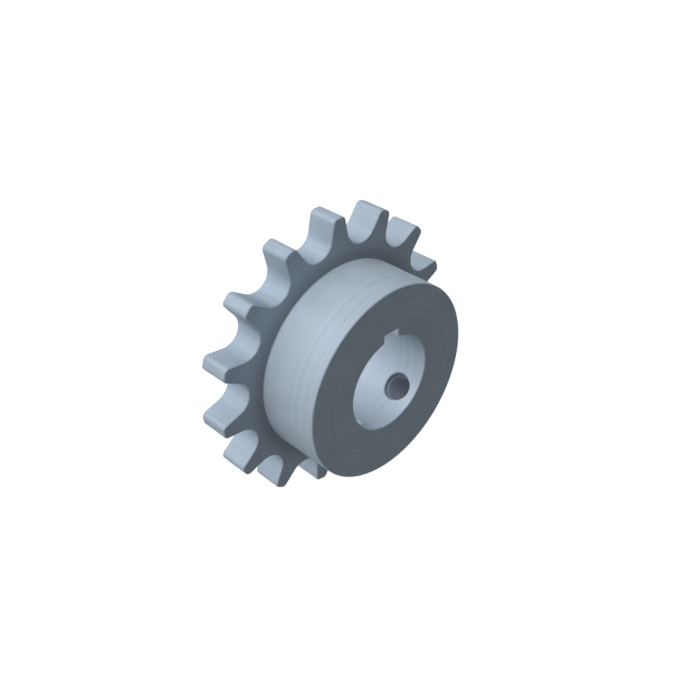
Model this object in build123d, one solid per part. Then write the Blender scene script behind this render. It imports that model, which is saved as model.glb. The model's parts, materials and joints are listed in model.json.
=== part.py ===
from build123d import *
from math import cos, radians, sin
import os

# A one-piece steel chain sprocket: a toothed plate with a hub on one side, a keyed bore
# through both, and two tapped holes for set screws in the hub.
# It lies on the plate's flat back: the bore's axis is +Z, the back face is z = 0, the hub points
# up, and +Y runs through the middle of the keyway and of the tooth above it.

inch = 25.4

# The chain that the teeth fit: half-inch pitch, 08A size
chain_pitch = inch / 2
roller_diameter = 0.312 * inch
tooth_count = 15

# Toothed plate
plate_thickness = 0.284 * inch
tip_diameter = 67.4
tip_corner_radius = 1.2

# Hub
hub_diameter = 45.7
overall_length = 7 / 8 * inch

# Bore for a 7/8 inch shaft, and the hub's share of a 4 x 4 mm parallel key
bore_diameter = 7 / 8 * inch
keyway_width = 4.0
keyway_depth = 1.8

# Quarter-inch tapped holes, drawn at the thread's outer diameter, on the side away from the key
set_screw_diameter = inch / 4
set_screw_from_hub_end = 5.1
set_screw_angles = (-45, 225)

# Every outer edge and every hole's mouth is broken by a small chamfer
edge_break = 0.2

# Tooth form: the seat arc and its angle follow from the roller and the number of teeth
pitch_radius = chain_pitch / 2 / sin(radians(180 / tooth_count))
root_radius = pitch_radius - roller_diameter / 2
seat_radius = 0.505 * roller_diameter
half_seat_angle = (140 - 90 / tooth_count) / 2
flank_angle = 90 - half_seat_angle
first_gap_angle = 90 + 180 / tooth_count

tip_radius = tip_diameter / 2
hub_radius = hub_diameter / 2
bore_radius = bore_diameter / 2
set_screw_height = overall_length - set_screw_from_hub_end

FROM_BASE = (Align.CENTER, Align.CENTER, Align.MIN)


def tooth_gap():
    """One gap with its centreline on +X: a roller's seat arc, and straight flanks tangent to it."""
    seat_centre = (root_radius + seat_radius, 0)
    seat = CenterArc(seat_centre, seat_radius, 180 - half_seat_angle, 2 * half_seat_angle)
    flank_length = tip_radius - root_radius
    left_flank = PolarLine(seat @ 0, flank_length, flank_angle)
    right_flank = PolarLine(seat @ 1, flank_length, -flank_angle)
    mouth = Line(left_flank @ 1, right_flank @ 1)
    return make_face([seat, left_flank, right_flank, mouth])


def toothed_plate():
    """A disc less its gaps: each tooth keeps a flat tip with rounded corners."""
    gaps = PolarLocations(0, tooth_count, start_angle=first_gap_angle)
    outline = Circle(tip_radius) - [place * tooth_gap() for place in gaps]
    tips = outline.vertices().filter_by(lambda v: v.center().length > tip_radius - edge_break)
    plate = extrude(fillet(tips, tip_corner_radius), plate_thickness)
    return chamfer(plate.faces().filter_by(Axis.Z).edges(), edge_break)


def hubbed_blank():
    """The plate and its hub before boring, turned to a square corner where they meet."""
    hub = Cylinder(hub_radius, overall_length, align=FROM_BASE)
    return toothed_plate() + chamfer(hub.edges().sort_by(Axis.Z)[-1], edge_break)


def keyed_bore():
    """The shaft's hole and the slot for its key, as one cutting body from face to face."""
    shaft = Cylinder(bore_radius, overall_length, align=FROM_BASE)
    key_reach = bore_radius + keyway_depth
    key = Box(keyway_width, key_reach, overall_length, align=(Align.CENTER, Align.MIN, Align.MIN))
    return shaft + key


def set_screw_hole(angle):
    """A radial drill, from the axis out through one side of the hub."""
    outward = (cos(radians(angle)), sin(radians(angle)), 0)
    screw_axis = Plane(origin=(0, 0, set_screw_height), z_dir=outward)
    return screw_axis * Cylinder(set_screw_diameter / 2, tip_radius, align=FROM_BASE)


def sprocket():
    """The blank bored, keyed and drilled, with the mouth of every hole chamfered."""
    bored = hubbed_blank() - keyed_bore()
    ends = bored.faces().filter_by(Axis.Z).sort_by(Axis.Z)
    bored = chamfer(ends[0].inner_wires().edges() + ends[-1].inner_wires().edges(), edge_break)
    drilled = bored - [set_screw_hole(angle) for angle in set_screw_angles]
    # Only a round hole through a round wall leaves free curves for edges
    return chamfer(drilled.edges().filter_by(GeomType.BSPLINE), edge_break)


os.makedirs("parts", exist_ok=True)
export_step(sprocket(), "parts/sprocket.step")
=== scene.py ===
# %% [markdown]
# # A chain sprocket, finished in Blender
#
# A sprocket like this is one machined piece of steel: a plate with 15 teeth, a hub on one side, a
# bore with a keyway, and two tapped holes for set screws. The solid model already has all of that
# at its real size. What is left for Blender is what the model leaves out: the threads in the tapped
# holes, the marks that each cutting tool leaves on its surface, and the light.
#
# Lengths are in metres. The bore's axis is +Z, the plate's back lies on the floor at z = 0, and +Y
# runs through the keyway.

# %% Load the solid model
import json
from math import cos, pi, radians, sin, sqrt, tan

import bpy
import numpy as np
from mathutils import Matrix, Vector


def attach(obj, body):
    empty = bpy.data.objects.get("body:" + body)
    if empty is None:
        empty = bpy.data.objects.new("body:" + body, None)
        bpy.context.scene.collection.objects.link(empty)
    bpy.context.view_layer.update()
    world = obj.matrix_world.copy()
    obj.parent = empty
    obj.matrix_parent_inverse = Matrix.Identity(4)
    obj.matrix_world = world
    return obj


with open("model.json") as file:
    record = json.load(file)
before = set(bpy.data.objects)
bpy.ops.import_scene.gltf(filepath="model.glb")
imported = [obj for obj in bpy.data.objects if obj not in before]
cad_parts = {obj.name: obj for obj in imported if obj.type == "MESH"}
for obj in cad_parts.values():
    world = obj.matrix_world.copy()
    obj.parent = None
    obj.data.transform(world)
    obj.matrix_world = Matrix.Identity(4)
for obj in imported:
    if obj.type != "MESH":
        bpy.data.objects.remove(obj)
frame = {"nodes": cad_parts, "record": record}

MM = 0.001
scene = bpy.context.scene
sprocket = frame["nodes"]["sprocket"]
mounts = {mount["name"]: mount for mount in frame["record"]["mounts"]}
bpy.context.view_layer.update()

# %% [markdown]
# ## Where the camera stands
#
# The sprocket lies on its back and the camera looks down on it from the hub's side. A constraint
# could aim the camera, but a matrix says it directly: its columns are the directions that the
# camera calls right, up and backwards. Up in the picture is the direction of the keyway, so the
# sprocket looks as if it stood on its teeth.

# %% Camera
CAMERA_TARGET = Vector((-3.8, 6.3, 13.8)) * MM
CAMERA_DISTANCE = 190 * MM
CAMERA_AZIMUTH = radians(135.56)
CAMERA_ELEVATION = radians(35.84)
CAMERA_ROLL = radians(-0.205)
FIELD_OF_VIEW = radians(42.87)
KEYWAY_SIDE = Vector((0, 1, 0))


def direction(azimuth, elevation):
    """The unit vector whose azimuth turns from +X towards +Y and whose elevation rises from the floor."""
    level = cos(elevation)
    return Vector((level * cos(azimuth), level * sin(azimuth), sin(elevation)))


def camera_axes(backwards, picture_up, roll):
    """Right, up and backwards as a matrix's columns. Right is square to picture_up before the roll."""
    right = picture_up.cross(backwards).normalized()
    up = backwards.cross(right)
    return Matrix((
        right * cos(roll) + up * sin(roll),
        up * cos(roll) - right * sin(roll),
        backwards,
    )).transposed()


camera_data = bpy.data.cameras.new("camera")
camera_data.angle = FIELD_OF_VIEW
camera_data.clip_start = MM
camera = bpy.data.objects.new("camera", camera_data)
scene.collection.objects.link(camera)
scene.camera = camera
backwards = direction(CAMERA_AZIMUTH, CAMERA_ELEVATION)
camera.matrix_world = camera_axes(backwards, KEYWAY_SIDE, CAMERA_ROLL).to_4x4()
camera.location = CAMERA_TARGET + backwards * CAMERA_DISTANCE
print("camera at", [round(place / MM, 1) for place in camera.location], "mm")

# %% [markdown]
# ## Small helpers for materials
#
# A material is a graph of nodes. Wiring one by hand takes a line for every link, which hides what
# the graph works out. These helpers let each formula be written as a function call instead: add()
# makes a node and fills its inputs with numbers or links, the next two name the steps that come up
# most, a piece of arithmetic and a smooth change from 0 to 1, and the last one clears a new graph.

# %% Helpers for node graphs
def add(tree, kind, inputs=(), **settings):
    """Adds a node. inputs maps each input's name or number to a value, or to an output that feeds it."""
    node = tree.nodes.new("ShaderNode" + kind)
    for name, value in settings.items():
        setattr(node, name, value)
    for name, value in dict(inputs).items():
        if isinstance(value, bpy.types.NodeSocket):
            tree.links.new(value, node.inputs[name])
        else:
            node.inputs[name].default_value = value
    return node


def calculate(tree, operation, *values):
    """The result of one Math node, such as ADD or MULTIPLY, on numbers or outputs."""
    return add(tree, "Math", enumerate(values), operation=operation).outputs[0]


def fade(tree, value, start, end):
    """0 where value is at start, 1 where it is at end, and an S-curve between them."""
    limits = {"Value": value, "From Min": start, "From Max": end}
    return add(tree, "MapRange", limits, interpolation_type="SMOOTHSTEP").outputs[0]


def empty_graph(owner):
    """The node graph of a material or world, with the nodes that Blender puts there removed."""
    owner.use_nodes = True
    owner.node_tree.nodes.clear()
    return owner.node_tree


# %% [markdown]
# ## A white studio
#
# The floor is a plain white sheet. A white sheet only looks pure white under a strong light, and a
# strong light would wash out the steel. So the floor adds a glow that the camera sees, and that the
# steel sees in its reflections, but that lights nothing. The sheet itself still takes the soft
# shadow that the sprocket casts. Without Light Path, the glow would light the sprocket from below.

# %% Floor
FLOOR_SIDE = 12.0
FLOOR_WHITE = 0.6
FLOOR_GLOW = 0.66


def square_sheet(name, side):
    """A flat square in the plane z = 0, centred on the axis, facing up."""
    half = side / 2
    mesh = bpy.data.meshes.new(name)
    corners = [(-half, -half, 0), (half, -half, 0), (half, half, 0), (-half, half, 0)]
    mesh.from_pydata(corners, [], [(0, 1, 2, 3)])
    return bpy.data.objects.new(name, mesh)


def floor_material():
    """White paper, plus a glow for camera, mirror and glass rays alone."""
    material = bpy.data.materials.new("white_floor")
    tree = empty_graph(material)
    ray = add(tree, "LightPath").outputs
    mirrored = calculate(tree, "MAXIMUM", ray["Is Glossy Ray"], ray["Is Transmission Ray"])
    seen = calculate(tree, "MAXIMUM", ray["Is Camera Ray"], mirrored)
    paper = add(tree, "BsdfDiffuse", {"Color": (FLOOR_WHITE, FLOOR_WHITE, FLOOR_WHITE, 1)})
    glow = add(tree, "Emission", {"Strength": calculate(tree, "MULTIPLY", seen, FLOOR_GLOW)})
    both = add(tree, "AddShader", {0: paper.outputs[0], 1: glow.outputs[0]})
    add(tree, "OutputMaterial", {"Surface": both.outputs[0]})
    return material


floor = square_sheet("floor", FLOOR_SIDE)
floor.data.materials.append(floor_material())
scene.collection.objects.link(floor)
print("floor", FLOOR_SIDE, "m square")

# %% [markdown]
# ## Light for upright walls
#
# A machined part reads best when faces that look different ways have different tones. Here the
# upright walls are to be light and the flat faces dark, so the light comes in almost level, from
# three soft lamps that the flat faces hardly catch: two on the camera's side, and a fill behind the
# sprocket. They cast no shadows, so the far wall of the bore is as bright as the hub.
#
# That has a price: a lamp without shadows also reaches where no light should. Blender can list the
# objects that a lamp lights, so the lists of the main lamp and the fill leave out the threads, deep
# in their holes. In the same way a fourth lamp, overhead, lights the floor alone: it is there for
# the soft shadow that the sprocket casts. And the fill is hidden from mirrors, or the flat faces
# would show it.

# %% Lamps
MAIN_AZIMUTH = radians(130)
MAIN_STRENGTH = 2.85
SECOND_AZIMUTH = radians(100)
SECOND_STRENGTH = 0.6
FILL_AZIMUTH = radians(300)
FILL_STRENGTH = 1.2
SIDE_ELEVATION = radians(8)
OVERHEAD_AZIMUTH = radians(135)
OVERHEAD_STRENGTH = 1.0
OVERHEAD_ELEVATION = radians(65)
LAMP_SPREAD = radians(30)


def distant_lamp(name, azimuth, elevation, strength):
    """A lamp so far away that only its direction counts, and LAMP_SPREAD wide, which softens it."""
    data = bpy.data.lights.new(name, "SUN")
    data.energy = strength
    data.angle = LAMP_SPREAD
    lamp = bpy.data.objects.new(name, data)
    towards = direction(azimuth, elevation)
    lamp.matrix_world = towards.to_track_quat("Z", "Y").to_matrix().to_4x4()
    scene.collection.objects.link(lamp)
    return lamp


def light_only(lamp, *pieces):
    """Lists the pieces that a lamp lights. Every piece still casts its shadow."""
    lit = bpy.data.collections.new(f"lit_by_{lamp.name}")
    for piece in pieces:
        lit.objects.link(piece)
    lamp.light_linking.receiver_collection = lit


main_lamp = distant_lamp("main_lamp", MAIN_AZIMUTH, SIDE_ELEVATION, MAIN_STRENGTH)
second_lamp = distant_lamp("second_lamp", SECOND_AZIMUTH, SIDE_ELEVATION, SECOND_STRENGTH)
fill_lamp = distant_lamp("fill_lamp", FILL_AZIMUTH, SIDE_ELEVATION, FILL_STRENGTH)
overhead_lamp = distant_lamp("overhead_lamp", OVERHEAD_AZIMUTH, OVERHEAD_ELEVATION, OVERHEAD_STRENGTH)
for lamp in (main_lamp, second_lamp, fill_lamp):
    lamp.data.use_shadow = False
fill_lamp.visible_glossy = False
light_only(main_lamp, sprocket, floor)
light_only(fill_lamp, sprocket)
light_only(overhead_lamp, floor)
print("side lamps", MAIN_STRENGTH, SECOND_STRENGTH, FILL_STRENGTH, "overhead", OVERHEAD_STRENGTH)

# %% [markdown]
# ## The room
#
# Steel shows what is round it. This room is dim overhead, which is what the flat faces mirror, and
# as white as the floor at the horizon, where the two meet. A plain grey would be simpler, but then
# the floor would end at a line. The camera itself sees white all the way up.

# %% Room
ROOM_OVERHEAD = 0.11
ROOM_HORIZON = 1.0
HORIZON_TOP = sin(radians(22))

scene.world = bpy.data.worlds.new("room")
tree = empty_graph(scene.world)
sight = add(tree, "TexCoord").outputs["Generated"]
height = add(tree, "SeparateXYZ", {0: sight}).outputs["Z"]
limits = {"Value": height, "From Max": HORIZON_TOP, "To Min": ROOM_HORIZON, "To Max": ROOM_OVERHEAD}
dimming = add(tree, "MapRange", limits, interpolation_type="SMOOTHSTEP").outputs[0]
is_camera = add(tree, "LightPath").outputs["Is Camera Ray"]
strength = calculate(tree, "MAXIMUM", dimming, is_camera)
room = add(tree, "Background", {"Color": (1, 1, 1, 1), "Strength": strength})
add(tree, "OutputWorld", {"Surface": room.outputs[0]})
print("room", ROOM_HORIZON, "at the horizon,", ROOM_OVERHEAD, "overhead")

# %% [markdown]
# ## Where each tool cut
#
# A lathe faced the flats and turned the hub and the bore, a hob cut the teeth, and a broach was
# pulled through for the keyway. Each leaves fine lines in its own direction: rings on a flat face,
# rings round the hub and the bore, and lines along the axis on the teeth and in the keyway. The
# sprocket could have a material for each, but one material that works out where it is keeps the
# lines unbroken and the steel the same.
#
# A zone is a number at each point of the surface: 1 inside the zone, 0 outside it, and something
# between on its border. Multiplying zones gives their overlap, and adding zones that don't overlap
# joins them.

# %% Helpers for zones
ZONE_BORDER = 0.05 * MM


def below(tree, value, limit):
    """1 where value is under limit, and 0 from ZONE_BORDER past it."""
    return fade(tree, value, limit + ZONE_BORDER, limit)


def opposite(tree, zone):
    """1 where the zone is 0, and 0 where it is 1."""
    return calculate(tree, "SUBTRACT", 1, zone)


def overlap(tree, first, *others):
    """The product of all the zones."""
    for other in others:
        first = calculate(tree, "MULTIPLY", first, other)
    return first


def total(tree, first, *others):
    """The sum of all the zones."""
    for other in others:
        first = calculate(tree, "ADD", first, other)
    return first


def distance(tree, across, along):
    """How far a point is from a line, from its two offsets at right angles to the line."""
    offset = add(tree, "CombineXYZ", {"X": across, "Y": along}).outputs[0]
    return add(tree, "VectorMath", {0: offset}, operation="LENGTH").outputs["Value"]


print("zone borders", ZONE_BORDER / MM, "mm wide")

# %% Where the surface is, and how far it leans
HUB_RADIUS = 22.85 * MM
BORE_RADIUS = mounts["bore"]["dims"]["r_mm"] * MM
PLATE_FRONT = 2 * mounts["teeth"]["pos_m"][2]
KEYWAY_HALF_WIDTH = 2.0 * MM
HOLE_RADIUS = mounts["set_screw_hole_right"]["dims"]["r_mm"] * MM
HOLE_HEIGHT = mounts["set_screw_hole_right"]["pos_m"][2]
FLAT_LIMITS = (0.85, 0.95)
UPRIGHT_LIMITS = (0.5, 0.3)


def surface_place(tree):
    """X, Y, Z, the radius from the bore's axis, and |X|, because the two sides mirror each other."""
    place = add(tree, "SeparateXYZ", {0: add(tree, "TexCoord").outputs["Object"]}).outputs
    return {
        "X": place["X"],
        "Y": place["Y"],
        "Z": place["Z"],
        "radius": distance(tree, place["X"], place["Y"]),
        "sideways": calculate(tree, "ABSOLUTE", place["X"]),
    }


def leaning_zones(tree):
    """Flat, upright and sloped, by the size of the surface normal's Z: near 1, near 0 and between.

    Each pair of limits is where a zone starts and where it is full."""
    normal = add(tree, "SeparateXYZ", {0: add(tree, "TexCoord").outputs["Normal"]}).outputs
    level = calculate(tree, "ABSOLUTE", normal["Z"])
    flat = fade(tree, level, *FLAT_LIMITS)
    upright = fade(tree, level, *UPRIGHT_LIMITS)
    sloped = opposite(tree, total(tree, flat, upright))
    return flat, upright, sloped


radii = [round(radius / MM, 2) for radius in (BORE_RADIUS, HUB_RADIUS)]
print("bore and hub radius", radii, "mm, plate's front at", round(PLATE_FRONT / MM, 2), "mm")

# %% Zones of the sprocket's surface
WALL_MIDDLE = (BORE_RADIUS + HUB_RADIUS) / 2
KEYWAY_FOOT = sqrt(BORE_RADIUS ** 2 - KEYWAY_HALF_WIDTH ** 2)
HOLE_ANGLE = radians(45)
CORNER_REACH = 5.0 * MM
CORNER_CLIMB = 0.12
# PAINTED_SHADE_STARTS is how far past the bore the painted shade in the tapped holes begins.
PAINTED_SHADE_STARTS = 1.0 * MM


def outside_hub(tree, place):
    """The zone of the teeth and of the plate round the hub."""
    return opposite(tree, below(tree, place["radius"], HUB_RADIUS + ZONE_BORDER))


def within_wall(tree, place):
    """The zone of the bore and the keyway, out to the middle of the hub's wall."""
    return below(tree, place["radius"], WALL_MIDDLE)


def keyway_slot(tree, place):
    """The zone between the keyway's sides, from the foot where they leave the bore's arc."""
    between_sides = below(tree, place["sideways"], KEYWAY_HALF_WIDTH + ZONE_BORDER)
    past_foot = opposite(tree, below(tree, place["Y"], KEYWAY_FOOT - ZONE_BORDER))
    return overlap(tree, between_sides, past_foot)


# The hub's corner is where painted shade goes: a darker colour round the hub's foot.
def hub_corner(tree, place):
    """1 on the circle where hub and plate meet, down to 0 at CORNER_REACH out from it.

    Heights are divided by CORNER_CLIMB, so up the hub it ends that much sooner."""
    outward = calculate(tree, "SUBTRACT", place["radius"], HUB_RADIUS)
    upward = calculate(tree, "SUBTRACT", place["Z"], PLATE_FRONT)
    upward = calculate(tree, "DIVIDE", upward, CORNER_CLIMB)
    return fade(tree, distance(tree, outward, upward), CORNER_REACH, 0)


# The tapped holes get painted shade: a darker colour on their walls.
def tapped_holes(tree, place):
    """The zone inside both tapped holes, by the distance from their axes, from PAINTED_SHADE_STARTS past the bore.

    The holes run halfway between X and -Y, so the offset from an axis is (|X| + Y) cos 45."""
    sum_of_sides = calculate(tree, "ADD", place["sideways"], place["Y"])
    across = calculate(tree, "MULTIPLY", sum_of_sides, cos(HOLE_ANGLE))
    upward = calculate(tree, "SUBTRACT", place["Z"], HOLE_HEIGHT)
    inside = below(tree, distance(tree, across, upward), HOLE_RADIUS + ZONE_BORDER)
    past_bore = fade(tree, place["radius"], BORE_RADIUS, BORE_RADIUS + PAINTED_SHADE_STARTS)
    return overlap(tree, inside, past_bore)


# The oil in this print is painted shade, a darker colour round the hub's foot.
print("oil reaches", CORNER_REACH / MM, "mm out from the hub's foot")

# %% [markdown]
# ## The marks themselves
#
# Noise in one dimension makes lines: read along the radius it draws rings on a flat face, and read
# along the axis it draws rings round a wall. For the lines along the axis, noise in three
# dimensions is stretched by reading Z at a fraction of its true length. A wave texture would also
# make lines, but all alike, and no cutter is that regular.

# %% Tool marks
TURNED_SPACING = 1.2 * MM
CUT_SPACING = 0.6 * MM
CUT_LENGTH = 9 * MM
MARK_OCTAVES = 6
MARK_FINENESS = 0.85


def turned_marks(tree, place, flat):
    """Noise along one line: along the radius on a flat face, and along the axis on any other."""
    along = add(tree, "Mix", {"Factor": flat, "A": place["Z"], "B": place["radius"]}).outputs[0]
    steps = calculate(tree, "DIVIDE", along, TURNED_SPACING)
    inputs = {"W": steps, "Scale": 1, "Detail": MARK_OCTAVES, "Roughness": MARK_FINENESS}
    return add(tree, "TexNoise", inputs, noise_dimensions="1D").outputs[0]


def cut_marks(tree, place):
    """Noise in space with steps of CUT_SPACING across the axis and CUT_LENGTH along it."""
    point = add(tree, "CombineXYZ", {axis: place[axis] for axis in "XYZ"}).outputs[0]
    steps_in_a_metre = (1 / CUT_SPACING, 1 / CUT_SPACING, 1 / CUT_LENGTH)
    steps = add(tree, "VectorMath", {0: point, 1: steps_in_a_metre}, operation="MULTIPLY").outputs[0]
    inputs = {"Vector": steps, "Scale": 1, "Detail": MARK_OCTAVES, "Roughness": MARK_FINENESS}
    return add(tree, "TexNoise", inputs).outputs[0]


print("widest turned rings", TURNED_SPACING / MM, "mm, widest cut lines", CUT_SPACING / MM, "mm")

# %% [markdown]
# ## Steel
#
# Clean steel is a metal: it has hardly any colour of its own beyond what it mirrors, and how sharp
# the mirror is depends on how finely it was cut. This finish is satin, a little blue, and partly
# matt, as a part is after its oil has dried on it. Over the steel go a slow cloudiness, as a thumb
# or a drop of oil leaves, and a fine grain. The broken edges are a little brighter, as worn edges
# are. The hub's side, the bore and, twice as much, the keyway are painted lighter: painted light
# that lifts the shade that falls there. In the tapped holes and in the corner round the hub the
# colour is painted darker and less blue: painted shade.
#
# A shader mirrors everything at a glancing angle, as a polished surface does. A rough one mirrors
# much less there, so the specular tint, which sets that for the metal share, is a dark grey and not
# white, and the matt share has a low specular level, so that it hardly mirrors at all.

# %% Steel material
STEEL_DARK = (0.27, 0.33, 0.39, 1)
STEEL_LIGHT = (0.37, 0.44, 0.52, 1)
# STEEL_PAINTED_SHADE is the colour of painted shade: darker and less blue, in the tapped holes and round
# the hub's foot.
STEEL_PAINTED_SHADE = (0.14, 0.155, 0.165, 1)
STEEL_METAL = 0.42
STEEL_ROUGHNESS = 0.58
STEEL_SPECULAR = 0.1
STEEL_GLANCING = (0.15, 0.17, 0.19, 1)
ROUGHNESS_RANGE = 0.2
# WEAR_AND_PAINTED_LIGHT_GAIN lightens the colour: on the broken edges as wear, and on the hub's side, the
# bore, the keyway and the threads as painted light.
WEAR_AND_PAINTED_LIGHT_GAIN = (0.22, 0.17, 0.15)
CLOUD_SIZE = 7 * MM
GRAIN_SIZE = 0.12 * MM
FINE_OCTAVES = 2
GRAIN_SHARE = 0.1
MARK_DEPTH = 0.04 * MM
MARK_CONTRAST = 3.0


def blend_colours(tree, share, first, second):
    """The first colour where share is 0, and the second where it is 1.

    A Mix node has sockets for each kind of value: its colours are inputs 6 and 7, and output 2."""
    return add(tree, "Mix", {"Factor": share, 6: first, 7: second}, data_type="RGBA").outputs[2]


def blotches(tree, size):
    """Noise between 0 and 1 whose largest blotches are about size across."""
    point = add(tree, "TexCoord").outputs["Object"]
    inputs = {"Vector": point, "Scale": 1 / size, "Detail": FINE_OCTAVES}
    return add(tree, "TexNoise", inputs).outputs[0]


def steel_surface(tree, marks, wear_and_painted_light, painted_shade):
    """The shader. The mean of bold marks and clouds moves the colour and the roughness, and marks and
    grain make the height.

    The colour times (1 + fresh times WEAR_AND_PAINTED_LIGHT_GAIN) is lighter and a little less blue, which
    is wear on the edges and painted light elsewhere, and then painted shade darkens it. Bold marks are
    MARK_CONTRAST times as far from 0.5."""
    bold = calculate(tree, "MULTIPLY_ADD", marks, MARK_CONTRAST, 0.5 - MARK_CONTRAST / 2)
    uneven = calculate(tree, "MULTIPLY", total(tree, bold, blotches(tree, CLOUD_SIZE)), 0.5)
    dull = blend_colours(tree, uneven, STEEL_DARK, STEEL_LIGHT)
    gain = add(tree, "VectorMath", {0: wear_and_painted_light, 1: WEAR_AND_PAINTED_LIGHT_GAIN, 2: (1, 1, 1)}, operation="MULTIPLY_ADD")
    before_painted_shade = add(tree, "VectorMath", {0: dull, 1: gain.outputs[0]}, operation="MULTIPLY").outputs[0]
    least_rough = STEEL_ROUGHNESS - ROUGHNESS_RANGE / 2
    relief = calculate(tree, "MULTIPLY_ADD", blotches(tree, GRAIN_SIZE), GRAIN_SHARE, marks)
    bump = {"Height": relief, "Distance": MARK_DEPTH, "Strength": 1}
    steel = add(tree, "BsdfPrincipled", {
        "Base Color": blend_colours(tree, painted_shade, before_painted_shade, STEEL_PAINTED_SHADE),
        "Metallic": STEEL_METAL,
        "Roughness": calculate(tree, "MULTIPLY_ADD", uneven, ROUGHNESS_RANGE, least_rough),
        "Specular IOR Level": STEEL_SPECULAR,
        "Specular Tint": STEEL_GLANCING,
        "Normal": add(tree, "Bump", bump).outputs[0],
    })
    add(tree, "OutputMaterial", {"Surface": steel.outputs[0]})


print("steel", STEEL_METAL, "metal, roughness", STEEL_ROUGHNESS)

# %% The sprocket's own steel
# EDGE_WEAR is wear on the edges; HUB_PAINTED_LIGHT is painted light on the hub's side.
EDGE_WEAR = 0.5
HUB_PAINTED_LIGHT = 0.4
# CORNER_PAINTED_SHADE and HOLE_PAINTED_SHADE are how far the colour goes towards painted shade.
CORNER_PAINTED_SHADE = 0.55
HOLE_PAINTED_SHADE = 0.2


def machined_steel():
    """Steel with the marks of the tool that cut each zone, and painted shade, a darker colour, in the
    holes and in the hub's corner.

    It is a little lighter on the worn edges, and painted lighter, as painted light, a little on the hub's
    side, fully in the bore, and twice that in the keyway."""
    material = bpy.data.materials.new("machined_steel")
    tree = empty_graph(material)
    place = surface_place(tree)
    flat, upright, sloped = leaning_zones(tree)
    teeth = overlap(tree, upright, outside_hub(tree, place))
    inside = overlap(tree, upright, within_wall(tree, place))
    keyway = overlap(tree, inside, keyway_slot(tree, place))
    hub_side = calculate(tree, "SUBTRACT", upright, total(tree, teeth, inside))
    turned = turned_marks(tree, place, flat)
    both = {"Factor": total(tree, teeth, keyway), "A": turned, "B": cut_marks(tree, place)}
    marks = add(tree, "Mix", both).outputs[0]
    # The edges are lighter as wear; the hub's side, the bore and, twice over, the keyway are painted
    # lighter: painted light.
    worn_edges = calculate(tree, "MULTIPLY", sloped, EDGE_WEAR)
    painted_light_side = calculate(tree, "MULTIPLY", hub_side, HUB_PAINTED_LIGHT)
    wear_and_painted_light = total(tree, worn_edges, painted_light_side, inside, keyway)
    # Painted shade in the hub's corner and in the tapped holes.
    corner_painted_shade = calculate(tree, "MULTIPLY", hub_corner(tree, place), CORNER_PAINTED_SHADE)
    hole_painted_shade = calculate(tree, "MULTIPLY", tapped_holes(tree, place), HOLE_PAINTED_SHADE)
    steel_surface(tree, marks, wear_and_painted_light, calculate(tree, "MAXIMUM", corner_painted_shade, hole_painted_shade))
    return material


sprocket.material_slots[0].material = machined_steel()
print("machined_steel", len(sprocket.material_slots[0].material.node_tree.nodes), "nodes")

# %% [markdown]
# ## Threads in the tapped holes
#
# A tap cuts a groove into the wall of a drilled hole, and what it leaves is a ridge that winds
# down the hole. The solid model has the groove's outer diameter, so only the ridge is to be added.
# It could be a bump in a material, but a thread is deep enough to hide part of itself, so it is
# real geometry: the ridge's profile, carried along a helix.
#
# It is a quarter-inch coarse thread, 20 to the inch. At each end the ridge sinks into the wall,
# because a thread runs out where its hole meets the curved hub and the curved bore.

# %% Thread profile
THREAD_PITCH = 25.4 / 20 * MM
FLANK_ANGLE = radians(30)
RIDGE_SHARE = 7 / 8
DRILL_RADIUS = 5.1 / 2 * MM
EMBEDDED = 0.08 * MM


def ridge_profile(wall_radius):
    """The ridge's outline as rows of (along the hole, distance from its axis), anticlockwise.

    The flanks lean by FLANK_ANGLE from a plane across the hole. At the wall the ridge fills
    RIDGE_SHARE of a pitch, it narrows up to the drilled hole, and its foot is EMBEDDED in the steel."""
    foot = wall_radius + EMBEDDED
    half_at_wall = THREAD_PITCH * RIDGE_SHARE / 2
    half_foot = half_at_wall + EMBEDDED * tan(FLANK_ANGLE)
    half_crest = half_at_wall - (wall_radius - DRILL_RADIUS) * tan(FLANK_ANGLE)
    return np.array([
        (-half_foot, foot),
        (-half_crest, DRILL_RADIUS),
        (half_crest, DRILL_RADIUS),
        (half_foot, foot),
    ])


profile = ridge_profile(HOLE_RADIUS)
thread_depth = HOLE_RADIUS - DRILL_RADIUS
print("thread pitch", round(THREAD_PITCH / MM, 2), "mm, depth", round(thread_depth / MM, 3), "mm")

# %% Thread ridge
STEPS_PER_TURN = 64
RUN_OUT_TURNS = 0.4
END_CLEARANCE = 0.45 * MM


def ridge_points(profile, start, end):
    """The profile at each step of a right-hand helix about +Z, as an array (steps, profile points, 3).

    After t turns its foot begins at start + t pitches. Near each end the profile moves out into the
    wall, by the ridge's height times 1 - (3 u^2 - 2 u^3), where u goes from 0 at the end to 1
    RUN_OUT_TURNS further in."""
    half_foot, height = profile[:, 0].max(), np.ptp(profile[:, 1])
    turns = (end - start - 2 * half_foot) / THREAD_PITCH
    turn = np.linspace(0, turns, round(turns * STEPS_PER_TURN) + 1)[:, None]
    inward = np.clip(np.minimum(turn, turns - turn) / RUN_OUT_TURNS, 0, 1)
    sunk = height * (1 - (3 * inward ** 2 - 2 * inward ** 3))
    angle = 2 * pi * turn
    from_axis = profile[None, :, 1] + sunk
    along = start + half_foot + turn * THREAD_PITCH + profile[None, :, 0]
    return np.stack([from_axis * np.cos(angle), from_axis * np.sin(angle), along], axis=-1)


start = BORE_RADIUS + END_CLEARANCE
end = sqrt(HUB_RADIUS ** 2 - HOLE_RADIUS ** 2) - END_CLEARANCE
ridge = ridge_points(profile, start, end)
print("ridge", ridge.shape[0], "steps,", round((end - start) / THREAD_PITCH, 1), "pitches long")

# %% Thread mesh
SHARP_EDGE = radians(30)


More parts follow.
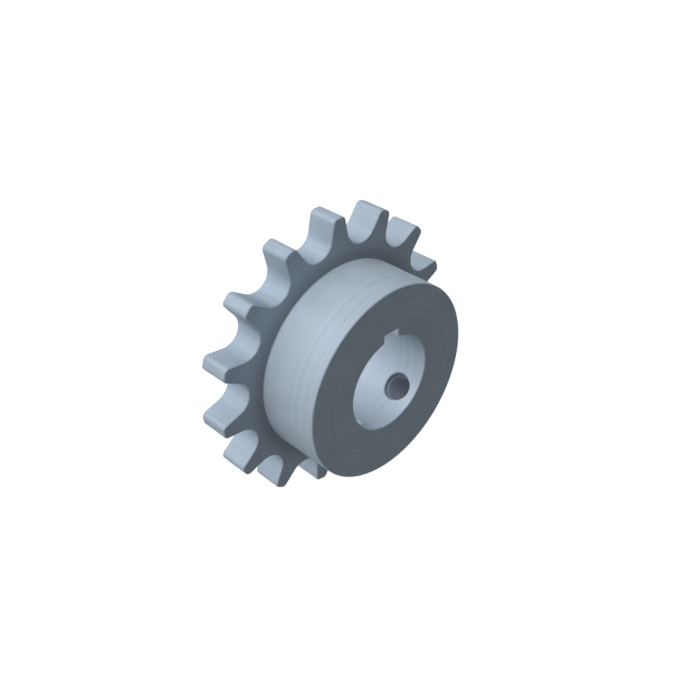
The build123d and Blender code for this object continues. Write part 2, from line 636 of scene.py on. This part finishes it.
def ridge_mesh(name, points):
    """A closed mesh from (steps, profile points, 3): quads between neighbours, and a cap on each end."""
    steps, around = points.shape[:2]
    corner = np.arange(steps * around).reshape(steps, around)
    beside = np.roll(corner, -1, axis=1)
    quads = np.stack([corner[:-1], beside[:-1], beside[1:], corner[1:]], axis=-1).reshape(-1, 4)
    caps = np.array([corner[0, ::-1], corner[-1]])
    mesh = bpy.data.meshes.new(name)
    mesh.from_pydata(points.reshape(-1, 3), [], np.concatenate([quads, caps]).tolist())
    mesh.shade_smooth()
    mesh.set_sharp_from_angle(angle=SHARP_EDGE)
    return mesh


def in_hole(points, mount):
    """Moves points from a hole along +Z to the mount's hole: +Z goes to its axis, and +X to the bore's."""
    outward = np.array(mount["axis"])
    upward = np.array([0.0, 0.0, 1.0])
    axes = np.array([upward, np.cross(outward, upward), outward])
    return points @ axes + upward * mount["pos_m"][2]


# %% [markdown]
# ## Marks along a helix
#
# The tap's marks run along the ridge, round and round. A pattern on the object's own coordinates
# would cut straight across it, so the ridge gets a UV map, a second set of coordinates that lies on
# its surface. Blender can unwrap a mesh, but here the grid already knows the way: U is the distance
# along the helix and V the distance round the profile, both in metres.

# %% Thread map
def length_along(points, axis):
    """The distance walked along one axis of a grid of points, from 0 at its first row or column."""
    walked = np.cumsum(np.linalg.norm(np.diff(points, axis=axis), axis=-1), axis=axis)
    return np.concatenate([np.zeros_like(np.take(walked, [0], axis=axis)), walked], axis=axis)


def add_uv(mesh, points):
    """Gives each corner of a face its point's distances along the grid."""
    uv = np.stack([length_along(points, 0), length_along(points, 1)], axis=-1).reshape(-1, 2)
    point = np.empty(len(mesh.loops), dtype=np.int32)
    mesh.loops.foreach_get("vertex_index", point)
    mesh.uv_layers.new(name="along_ridge").data.foreach_set("uv", uv[point].ravel())


print("ridge", round(length_along(ridge, 0)[-1, 0] / MM), "mm long, measured along its foot")

# %% Threaded steel
# THREAD_PAINTED_LIGHT paints the threads lighter all over: painted light in the holes.
THREAD_PAINTED_LIGHT = (1, 1, 1)  # one number for each of red, green and blue
# THREAD_PAINTED_SHADE is the threads' painted shade: none.
THREAD_PAINTED_SHADE = 0


def threaded_steel():
    """The same steel, painted lighter all over, as painted light in the holes. Its marks are noise with
    long steps along the ridge and short ones across it."""
    material = bpy.data.materials.new("threaded_steel")
    tree = empty_graph(material)
    along = add(tree, "UVMap", uv_map="along_ridge").outputs[0]
    steps_in_a_metre = (1 / CUT_LENGTH, 1 / CUT_SPACING, 1)
    steps = add(tree, "VectorMath", {0: along, 1: steps_in_a_metre}, operation="MULTIPLY").outputs[0]
    marks = add(tree, "TexNoise", {"Vector": steps, "Scale": 1, "Detail": MARK_OCTAVES}).outputs[0]
    steel_surface(tree, marks, THREAD_PAINTED_LIGHT, THREAD_PAINTED_SHADE)
    return material


steel_of_thread = threaded_steel()
for side in ("right", "left"):
    points = in_hole(ridge, mounts[f"set_screw_hole_{side}"])
    mesh = ridge_mesh(f"set_screw_thread_{side}", points)
    add_uv(mesh, points)
    mesh.materials.append(steel_of_thread)
    thread = bpy.data.objects.new(mesh.name, mesh)
    scene.collection.objects.link(thread)
    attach(thread, "root")
    print(thread.name, len(mesh.polygons), "faces")

# %% [markdown]
# ## The view transform
#
# Standard is the view transform that shows a colour as it was written.

# %% View transform
scene.view_settings.view_transform = "Standard"
